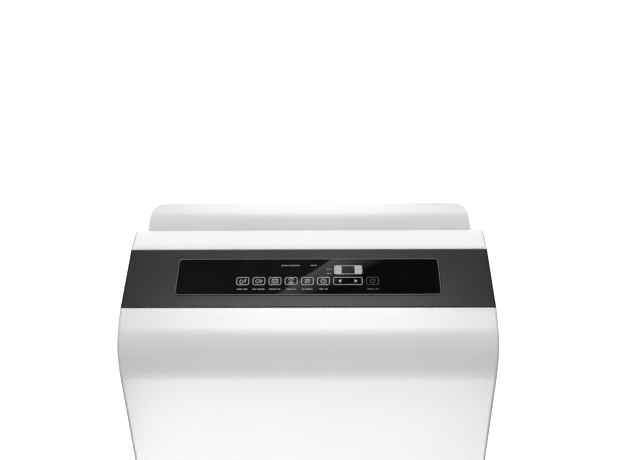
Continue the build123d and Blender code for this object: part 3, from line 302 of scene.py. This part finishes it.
materials = {
    "white_shell": white_shell(),
    "band_grey": moulded(
        "band_grey", dark=(0.018, 0.018, 0.019), light=(0.022, 0.022, 0.023), worn=grey(0.06),
        rough=(0.262, 0.272), grain=1400, depth=0.000003, Specular_IOR_Level=0.5),
    "lens_black": lens_black(),
    "board_green": circuit_board(),
    "black_plastic": moulded(
        "black_plastic", dark=(0.012, 0.012, 0.013), light=(0.018, 0.018, 0.019), worn=grey(0.05),
        rough=(0.42, 0.58), grain=1100, depth=0.00003),
    "grey_plastic": moulded(
        "grey_plastic", dark=(0.20, 0.205, 0.21), light=(0.235, 0.24, 0.245),
        worn=(0.33, 0.335, 0.34), rough=(0.40, 0.55), grain=1100, depth=0.00003),
    "filter_net": filter_net(),
    "bucket_smoke": clear(
        "bucket_smoke", tint=(0.34, 0.37, 0.40), rough=(0.12, 0.22), depth=0.00002),
    "clear_window": clear(
        "clear_window", tint=(0.78, 0.82, 0.84), rough=(0.04, 0.10), depth=0.00001),
    "float_foam": foam(),
    "zinc_steel": zinc_steel(),
    "bright_steel": metal(
        "bright_steel", dark=(0.50, 0.50, 0.51), light=(0.66, 0.66, 0.67), rough=(0.16, 0.32),
        scale=60, depth=0.00001, stretch=(1, 0.08, 1)),
    "black_metal": moulded(
        "black_metal", dark=(0.010, 0.010, 0.011), light=(0.016, 0.016, 0.017), worn=grey(0.06),
        rough=(0.28, 0.42), grain=420, depth=0.00005),
    "fin_aluminium": metal(
        "fin_aluminium", dark=(0.62, 0.63, 0.64), light=(0.78, 0.79, 0.80), rough=(0.30, 0.48),
        scale=40, depth=0.00002),
    "copper": metal(
        "copper", dark=(0.36, 0.15, 0.075), light=(0.76, 0.36, 0.20), rough=(0.22, 0.45),
        scale=45, depth=0.00003),
    "black_rubber": moulded(
        "black_rubber", dark=grey(0.010), light=grey(0.016), worn=grey(0.03),
        rough=(0.65, 0.80), grain=700, depth=0.00006),
    "wheel_nylon": moulded(
        "wheel_nylon", dark=(0.030, 0.030, 0.032), light=(0.045, 0.045, 0.047), worn=grey(0.12),
        rough=(0.38, 0.55), grain=800, depth=0.00004),
}
slots = {entry["node"]: entry["material_slot"] for entry in frame["record"]["subparts"]}
for name, node in frame["nodes"].items():
    node.data.materials.clear()
    node.data.materials.append(materials[slots[name]])

ink = ink_and_painted_light("ink_grey", grey(0.50))
legend_ink = ink_and_painted_light("ink_dim", grey(0.24))
green_ink = ink_and_painted_light("ink_green", (0.017, 0.048, 0.029))
window_ink = ink_and_painted_light("display_pale", grey(0.43), rough=(0.25, 0.35))
# Painted highlight: a light grey line that stands in for the light caught along the lens rim
rim_highlight_ink = ink_and_painted_light("rim_highlight_grey", grey(0.16), rough=(0.20, 0.30))
# Painted highlight: a line a little lighter than the band, standing in for light on its lower edge
edge_highlight_ink = ink_and_painted_light("edge_highlight_grey", (0.045, 0.045, 0.046), rough=(0.24, 0.30))
# Painted shadow: a dull black line that stands in for the shade in the gap at the band's foot
gap_shadow_ink = ink_and_painted_light("gap_shadow_black", grey(0.003), rough=(0.7, 0.9), Specular_IOR_Level=0.05)
ghost_ink = ink_and_painted_light("display_ghost", (0.010, 0.010, 0.011), rough=(0.20, 0.30))

# The control band's frame: across, up the slope and out of the face, with sizes in millimetres
BAND_FOOT = Vector((0, -0.101458, 0.584046))
BAND_SLOPE = math.radians(20.8)
BAND_UP = Vector((0, math.cos(BAND_SLOPE), math.sin(BAND_SLOPE)))
BAND_OUT = Vector((0, -math.sin(BAND_SLOPE), math.cos(BAND_SLOPE)))
INK_LOW = -0.02
INK_HIGH = 0.04
LINE = 0.55

KEY_X = {"pump": -69.4, "comfort": -52.2, "filter": -35.0, "continuous": -17.8, "turbo": -0.6,
         "timer": 16.6, "power": 68.7}
KEY_ROW = 33.7
KEY_SIZE = (13.2, 9.8)
KEY_CORNER = 1.9
ROCKER_X = 42.5
ROCKER_SIZE = (31.0, KEY_SIZE[1])
ARROW_REACH, ARROW_LENGTH, ARROW_HALF = 10.2, 3.0, 2.0

LEGEND_WIDTHS = {"pump": (5, 5), "comfort": (4, 8), "filter": (8, 3), "continuous": (6, 3),
                 "turbo": (3, 7), "timer": (5, 3)}
LEGEND_ROW = 23.4
LEGEND_GAP = 1.2
LEGEND_HEIGHT, LEGEND_CORNER = 1.15, 0.4
POWER_LEGEND = ((66.2, 7), (73.0, 4))
DISPLAY_LEGENDS = ((-25, 53.9, 8), (-14.5, 53.9, 11), (6, 53.9, 7),
                   (22.4, 48.9, 5), (22.4, 43.3, 5))
DISPLAY_LEGEND_HEIGHT, DISPLAY_LEGEND_CORNER = 1.0, 0.35

DISPLAY = (43.0, 48.1)
DISPLAY_SIZE = (30.0, 11.3)
DISPLAY_CORNER = 1.6
BLOCK_SHIFT, BLOCK_CORNER = 10.9, 1.2
BLOCK_SIZE = (7.8, DISPLAY_SIZE[1] - 0.8)
DIGIT_SHIFT, DIGIT_LINE = 3.1, 0.7
DIGIT_HALF, DIGIT_RISE, DIGIT_BAR, DIGIT_POST = 2.0, 1.6, 1.5, 1.1

LENS = (0, 39.55)
LENS_SIZE = (281.0, 46.7)
LENS_CORNER = 4.2
RIM_LINE = 0.7
FOOT_HALF = 193.6
# Rows and widths of the painted shadow line and the painted highlight line along the band's foot
GAP_SHADOW_ROW, GAP_SHADOW_WIDTH = 0.95, 1.7
EDGE_ROW, EDGE_WIDTH = 2.35, 0.9


def on_band(x, s, out):
    """Point of the band's frame, given in millimetres, as a place in the model."""
    return Vector((x * MM, 0, 0)) + BAND_FOOT + BAND_UP * (s * MM) + BAND_OUT * (out * MM)


def ring(centre, size, corner, steps=6):
    """Rounded rectangle as a closed loop of points."""
    points = []
    for turn, (sx, sy) in enumerate(((1, 1), (-1, 1), (-1, -1), (1, -1))):
        cx = centre[0] + sx * (size[0] / 2 - corner)
        cy = centre[1] + sy * (size[1] / 2 - corner)
        for step in range(steps + 1):
            angle = math.pi / 2 * (turn + step / steps)
            points.append((cx + corner * math.cos(angle), cy + corner * math.sin(angle)))
    return points


def arc(centre, radius, start, end, steps=28):
    """Points along an arc, its angles in degrees."""
    angles = [math.radians(start + (end - start) * step / steps) for step in range(steps + 1)]
    return [(centre[0] + radius * math.cos(a), centre[1] + radius * math.sin(a)) for a in angles]


def drop(centre, height):
    """Outline of a water drop."""
    radius = height * 0.32
    low = centre[1] - height / 2 + radius
    body = arc((centre[0], low), radius, 152, 388, steps=20)
    return body + [(centre[0], centre[1] + height / 2)]


class PrintAndPaintedLight:
    """Thin shapes of print, painted highlight and painted shadow on the band, gathered into one mesh.
    """

    def __init__(self):
        self.mesh = bmesh.new()

    def corner(self, point, out):
        """A vertex at a point of the band, a little out of its face."""
        return self.mesh.verts.new(on_band(*point, out))

    def fill(self, loop):
        """A filled shape inside a loop of points."""
        top = [self.corner(point, INK_HIGH) for point in loop]
        foot = [self.corner(point, INK_LOW) for point in loop]
        self.mesh.faces.new(top)
        self.mesh.faces.new(foot[::-1])
        for i in range(len(loop)):
            j = (i + 1) % len(loop)
            self.mesh.faces.new((foot[i], foot[j], top[j], top[i]))

    def bar(self, centre, width, height=LEGEND_HEIGHT, corner=LEGEND_CORNER):
        """A filled bar with rounded corners."""
        self.fill(ring(centre, (width, height), corner))

    def line(self, points, width=LINE, closed=False):
        """A stroke of even width along points."""
        count = len(points)
        left, right = [], []
        for i, point in enumerate(points):
            before = points[(i - 1) % count] if closed or i else point
            after = points[(i + 1) % count] if closed or i < count - 1 else point
            way = Vector((after[0] - before[0], after[1] - before[1])).normalized()
            side = Vector((-way.y, way.x)) * (width / 2)
            left.append((point[0] + side.x, point[1] + side.y))
            right.append((point[0] - side.x, point[1] - side.y))
        paths = ((left, INK_HIGH), (right, INK_HIGH), (right, INK_LOW), (left, INK_LOW))
        rows = [[self.corner(point, out) for point in path] for path, out in paths]
        for i in range(count if closed else count - 1):
            j = (i + 1) % count
            for a, b in zip(rows, rows[1:] + rows[:1]):
                self.mesh.faces.new((a[i], a[j], b[j], b[i]))
        if not closed:
            self.mesh.faces.new([row[0] for row in rows])
            self.mesh.faces.new([row[-1] for row in rows][::-1])

    def outline(self, centre, size, corner, width=LINE, steps=6):
        """A stroke just inside a rounded rectangle."""
        inner = (size[0] - width, size[1] - width)
        self.line(ring(centre, inner, corner, steps), width, closed=True)

    def piece(self, name, body, material):
        """The gathered shapes as a piece that rides on a body."""
        bmesh.ops.recalc_face_normals(self.mesh, faces=self.mesh.faces)
        data = bpy.data.meshes.new(name)
        self.mesh.to_mesh(data)
        self.mesh.free()
        data.materials.append(material)
        obj = bpy.data.objects.new(name, data)
        scene.collection.objects.link(obj)
        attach(obj, body)


# Pictograms on the pads, drawn round a pad's centre
def pump_icon(art, x, y):
    """A drop beside an arrow that points up."""
    art.line(drop((x - 1.6, y), 5.4), closed=True)
    art.line([(x + 2.4, y - 2.4), (x + 2.4, y + 2.2)])
    art.line([(x + 1.0, y + 0.8), (x + 2.4, y + 2.4), (x + 3.8, y + 0.8)])


def comfort_icon(art, x, y):
    """An open arc and a ring."""
    art.line(arc((x - 1.2, y), 2.2, 60, 300))
    art.line(arc((x + 1.8, y), 1.5, 0, 345), closed=True)


def filter_icon(art, x, y):
    """A frame with two bars."""
    art.line(ring((x, y), (6.4, 5.0), 1.0), closed=True)
    for shift in (-1.2, 1.2):
        art.line([(x + shift, y - 2.4), (x + shift, y + 2.4)])


def continuous_icon(art, x, y):
    """A drop between two arcs."""
    art.line(drop((x, y), 4.2), closed=True)
    for start in (20, 200):
        art.line(arc((x, y), 3.4, start, start + 140))


def turbo_icon(art, x, y):
    """Four curled blades."""
    for degrees in (45, 135, 225, 315):
        angle = math.radians(degrees)
        hub = (x + 1.5 * math.cos(angle), y + 1.5 * math.sin(angle))
        art.line(arc(hub, 1.25, degrees - 170, degrees + 60, steps=16))


def timer_icon(art, x, y):
    """A clock face with two hands."""
    art.line(arc((x, y), 2.8, 0, 347), closed=True)
    art.line([(x, y + 1.9), (x, y), (x + 1.7, y)])


def power_icon(art, x, y):
    """An open ring and a stroke."""
    art.line(arc((x, y), 2.5, 125, 415))
    art.line([(x, y + 0.4), (x, y + 3.0)])


icons = {"pump": pump_icon, "comfort": comfort_icon, "filter": filter_icon,
         "continuous": continuous_icon, "turbo": turbo_icon, "timer": timer_icon, "power": power_icon}
for name, draw in icons.items():
    key_print = PrintAndPaintedLight()
    key_print.outline((KEY_X[name], KEY_ROW), KEY_SIZE, KEY_CORNER)
    draw(key_print, KEY_X[name], KEY_ROW)
    key_print.piece(f"{name}_key_print", f"{name}_key", green_ink if name == "power" else ink)

rocker = PrintAndPaintedLight()
rocker.outline((ROCKER_X, KEY_ROW), ROCKER_SIZE, KEY_CORNER)
for side in (-1, 1):
    tip = ROCKER_X + side * ARROW_REACH
    tail = tip - side * ARROW_LENGTH
    arrow = [(tip, KEY_ROW), (tail, KEY_ROW + ARROW_HALF), (tail, KEY_ROW - ARROW_HALF)]
    rocker.fill(arrow[::side])
rocker.piece("level_rocker_print", "rocker", ink)

# Short bars under the keys and beside the display
legends = PrintAndPaintedLight()
for name, widths in LEGEND_WIDTHS.items():
    left = KEY_X[name] - (sum(widths) + LEGEND_GAP) / 2
    for width in widths:
        legends.bar((left + width / 2, LEGEND_ROW), width)
        left += width + LEGEND_GAP
for x, row, width in DISPLAY_LEGENDS:
    legends.bar((x, row), width, DISPLAY_LEGEND_HEIGHT, DISPLAY_LEGEND_CORNER)
legends.piece("lens_legends", "cabinet", legend_ink)
power_legend = PrintAndPaintedLight()
for x, width in POWER_LEGEND:
    power_legend.bar((x, LEGEND_ROW), width)
power_legend.piece("power_legend", "cabinet", green_ink)

# Display window: outline, pale end blocks and resting digits
display = PrintAndPaintedLight()
display.outline(DISPLAY, DISPLAY_SIZE, DISPLAY_CORNER)
display.piece("display_outline", "cabinet", ink)
blocks = PrintAndPaintedLight()
for side in (-1, 1):
    blocks.fill(ring((DISPLAY[0] + side * BLOCK_SHIFT, DISPLAY[1]), BLOCK_SIZE, BLOCK_CORNER))
blocks.piece("display_blocks", "cabinet", window_ink)
digits = PrintAndPaintedLight()
for x in (DISPLAY[0] - DIGIT_SHIFT, DISPLAY[0] + DIGIT_SHIFT):
    for rise in (-2 * DIGIT_RISE, 0, 2 * DIGIT_RISE):
        row = DISPLAY[1] + rise
        digits.line([(x - DIGIT_BAR, row), (x + DIGIT_BAR, row)], DIGIT_LINE)
    for post in (x - DIGIT_HALF, x + DIGIT_HALF):
        for rise in (-DIGIT_RISE, DIGIT_RISE):
            row = DISPLAY[1] + rise
            digits.line([(post, row - DIGIT_POST), (post, row + DIGIT_POST)], DIGIT_LINE)
digits.piece("display_digits", "cabinet", ghost_ink)

# Painted highlight round the lens rim, and a painted shadow in the gap and a painted highlight on the
# lit edge along the band's foot
# Painted highlight along the lens rim, drawn as a thin grey line
rim = PrintAndPaintedLight()
rim.outline(LENS, LENS_SIZE, LENS_CORNER, RIM_LINE, steps=8)
rim.piece("lens_rim_highlight", "cabinet", rim_highlight_ink)
# Painted shadow in the gap along the band's foot, drawn as a black line
gap_shadow = PrintAndPaintedLight()
gap_shadow.line([(-FOOT_HALF, GAP_SHADOW_ROW), (FOOT_HALF, GAP_SHADOW_ROW)], GAP_SHADOW_WIDTH)
gap_shadow.piece("band_foot_gap_shadow", "cabinet", gap_shadow_ink)
# Painted highlight along the band's lower edge, drawn as a lighter line
lit_edge = PrintAndPaintedLight()
lit_edge.line([(-FOOT_HALF, EDGE_ROW), (FOOT_HALF, EDGE_ROW)], EDGE_WIDTH)
lit_edge.piece("band_foot_highlight", "cabinet", edge_highlight_ink)

# Studio: pale floor, soft boxes, a white surround, and cards that show only in reflections
FLOOR_HALF = 6.0
SURROUND_LEVEL = 0.22
STREAK_HEIGHT = 1.88
STREAK_SLANT = 1.95
SHEEN_HALF = 0.33
SIDE_FLAG_X, SIDE_FLAG_TOP = 0.42, 0.85
END_FLAG_HEIGHT = 1.86


def seen_rays(tree):
    """One for rays from the camera, from gloss and through clear pieces, zero for others."""
    path = tree.nodes.new("ShaderNodeLightPath")
    seen = path.outputs["Is Camera Ray"]
    for kind in ("Is Glossy Ray", "Is Transmission Ray"):
        either = tree.nodes.new("ShaderNodeMath")
        either.operation = "MAXIMUM"
        tree.links.new(seen, either.inputs[0])
        tree.links.new(path.outputs[kind], either.inputs[1])
        seen = either.outputs["Value"]
    return seen


def make_floor():
    """Pale floor, white to the camera, that still takes the object's shadow."""
    half = FLOOR_HALF
    corners = [(-half, -half, 0), (half, -half, 0), (half, half, 0), (-half, half, 0)]
    data = bpy.data.meshes.new("floor")
    data.from_pydata(corners, [], [(0, 1, 2, 3)])
    floor = bpy.data.objects.new("floor", data)
    scene.collection.objects.link(floor)
    nodes = Nodes("floor")
    nodes.colour(nodes.ramp(nodes.noise(scale=3), (0.3, grey(0.78)), (0.7, grey(0.80))))
    nodes.constants(Roughness=0.9, Specular_IOR_Level=0.1)
    away = nodes.add("ShaderNodeVectorMath", operation="LENGTH")
    nodes.join(nodes.place, away.inputs[0])
    white = nodes.add("ShaderNodeMath", operation="MULTIPLY")
    nodes.join(nodes.spread(away.outputs["Value"], 0.75, 1.0, start=0.5, end=1.3), white.inputs[0])
    nodes.join(seen_rays(nodes.tree), white.inputs[1])
    glow = nodes.add("ShaderNodeEmission")
    nodes.join(white.outputs["Value"], glow.inputs["Strength"])
    total = nodes.add("ShaderNodeAddShader")
    nodes.join(nodes.shader.outputs["BSDF"], total.inputs[0])
    nodes.join(glow.outputs["Emission"], total.inputs[1])
    nodes.surface(total.outputs["Shader"])
    data.materials.append(nodes.material)


def make_world():
    """Even surround that is white to the camera and in reflections near the horizon."""
    world = bpy.data.worlds.new("studio")
    world.use_nodes = True
    scene.world = world
    tree = world.node_tree
    ambient = tree.nodes["Background"]
    ambient.inputs["Strength"].default_value = SURROUND_LEVEL
    ambient.inputs["Color"].default_value = (1, 1, 1, 1)
    backdrop = tree.nodes.new("ShaderNodeBackground")
    place = tree.nodes.new("ShaderNodeTexCoord")
    height = tree.nodes.new("ShaderNodeSeparateXYZ")
    fade = tree.nodes.new("ShaderNodeValToRGB")
    stops = ((0.55, grey(1)), (0.90, grey(0.10)))
    for element, (position, colour) in zip(fade.color_ramp.elements, stops):
        element.position = position
        element.color = (*colour, 1)
    choose = tree.nodes.new("ShaderNodeMixShader")
    for source, target in (
            (place.outputs["Generated"], height.inputs["Vector"]),
            (height.outputs["Z"], fade.inputs["Fac"]),
            (fade.outputs["Color"], backdrop.inputs["Color"]),
            (seen_rays(tree), choose.inputs["Fac"]),
            (ambient.outputs["Background"], choose.inputs[1]),
            (backdrop.outputs["Background"], choose.inputs[2]),
            (choose.outputs["Shader"], tree.nodes["World Output"].inputs["Surface"])):
        tree.links.new(source, target)


def area_light(name, place, aim, size, level, spread=180):
    """Rectangular soft box aimed at a point, as bright as its level says."""
    data = bpy.data.lights.new(name, "AREA")
    data.shape = "RECTANGLE"
    data.size, data.size_y = size
    data.energy = level * math.pi * size[0] * size[1]
    data.spread = math.radians(spread)
    light = bpy.data.objects.new(name, data)
    light.location = place
    light.rotation_euler = (Vector(aim) - Vector(place)).to_track_quat("-Z", "Y").to_euler()
    light.visible_camera = False
    scene.collection.objects.link(light)


def card(name, corners, material):
    """Flat studio card that shows only in reflections."""
    data = bpy.data.meshes.new(name)
    data.from_pydata(corners, [], [range(len(corners))])
    data.materials.append(material)
    panel = bpy.data.objects.new(name, data)
    scene.collection.objects.link(panel)
    for kind in ("camera", "diffuse", "shadow", "transmission"):
        setattr(panel, f"visible_{kind}", False)


def faded_glow(name, level, slant, bright, dark):
    """Glow that falls off across a card, along x less slant times y."""
    nodes = Nodes(name)
    across = nodes.add("ShaderNodeVectorMath", operation="DOT_PRODUCT")
    across.inputs[1].default_value = (1, -slant, 0)
    nodes.join(nodes.place, across.inputs[0])
    glow = nodes.add("ShaderNodeEmission")
    strength = nodes.spread(across.outputs["Value"], low=level, high=0, start=bright, end=dark)
    nodes.join(strength, glow.inputs["Strength"])
    nodes.surface(glow.outputs["Emission"])
    return nodes.material


def black_flag():
    """Dull black cloth."""
    nodes = Nodes("black_flag")
    nodes.colour(nodes.ramp(nodes.noise(scale=5), (0.3, grey(0.01)), (0.7, grey(0.015))))
    nodes.constants(Roughness=1.0, Specular_IOR_Level=0.0)
    return nodes.material


make_floor()
make_world()
area_light("overhead", place=(0, -0.40, 1.92), aim=(0, -0.40, 0), size=(1.0, 1.05), level=4.0)
area_light("overhead_core", place=(0, -0.36, 1.90), aim=(0, -0.36, 0), size=(0.5, 1.05), level=1.0)
area_light("back_top", place=(0, 1.0, 1.90), aim=(0, 0, 0.62), size=(1.4, 0.8), level=1.5)
area_light("front_high", place=(0, -0.95, 1.88), aim=(0, -0.12, 0.58), size=(0.4, 0.5), level=1.2)
area_light("low_front", place=(0, -0.51, 0.094), aim=(0, -0.135, 0.434), size=(0.66, 0.24),
           level=1.25, spread=130)
area_light("back_fill", place=(0, 2.0, 1.0), aim=(0, 0.14, 0.35), size=(1.6, 1.2), level=2.4)
for name, x in (("side_fill_left", -2.0), ("side_fill_right", 2.0)):
    area_light(name, place=(x, 1.0, 0.8), aim=(0, 0, 0.35), size=(1.2, 1.2), level=1.1)

# The slanted streak on the lens and the sheen low on the front
corners = ((-0.142, 0.18), (0.46, 0.18), (0.46, 0.345), (0.1055, 0.345))
card("streak", [(x, y, STREAK_HEIGHT) for x, y in corners],
     faded_glow("streak_glow", level=2.0, slant=STREAK_SLANT, bright=-0.547, dark=-0.397))
card("low_sheen",
     [(-SHEEN_HALF, -0.418, 0.006), (SHEEN_HALF, -0.418, 0.006),
      (SHEEN_HALF, -0.582, 0.182), (-SHEEN_HALF, -0.582, 0.182)],
     faded_glow("sheen_glow", level=5.5, slant=0, bright=-0.4, dark=2.8))

# Flags that darken the hood's sides and the band's ends
flag = black_flag()
for name, x in (("flag_left", -SIDE_FLAG_X), ("flag_right", SIDE_FLAG_X)):
    card(name, [(x, -1.0, 0), (x, 1.4, 0), (x, 1.4, SIDE_FLAG_TOP), (x, -1.0, SIDE_FLAG_TOP)], flag)
for name, near, far in (("end_flag_left", -0.40, -0.85), ("end_flag_right", 0.34, 0.85)):
    corners = ((near, -0.45), (far, -0.45), (far, 0.42), (near, 0.42))
    card(name, [(x, y, END_FLAG_HEIGHT) for x, y in corners], flag)
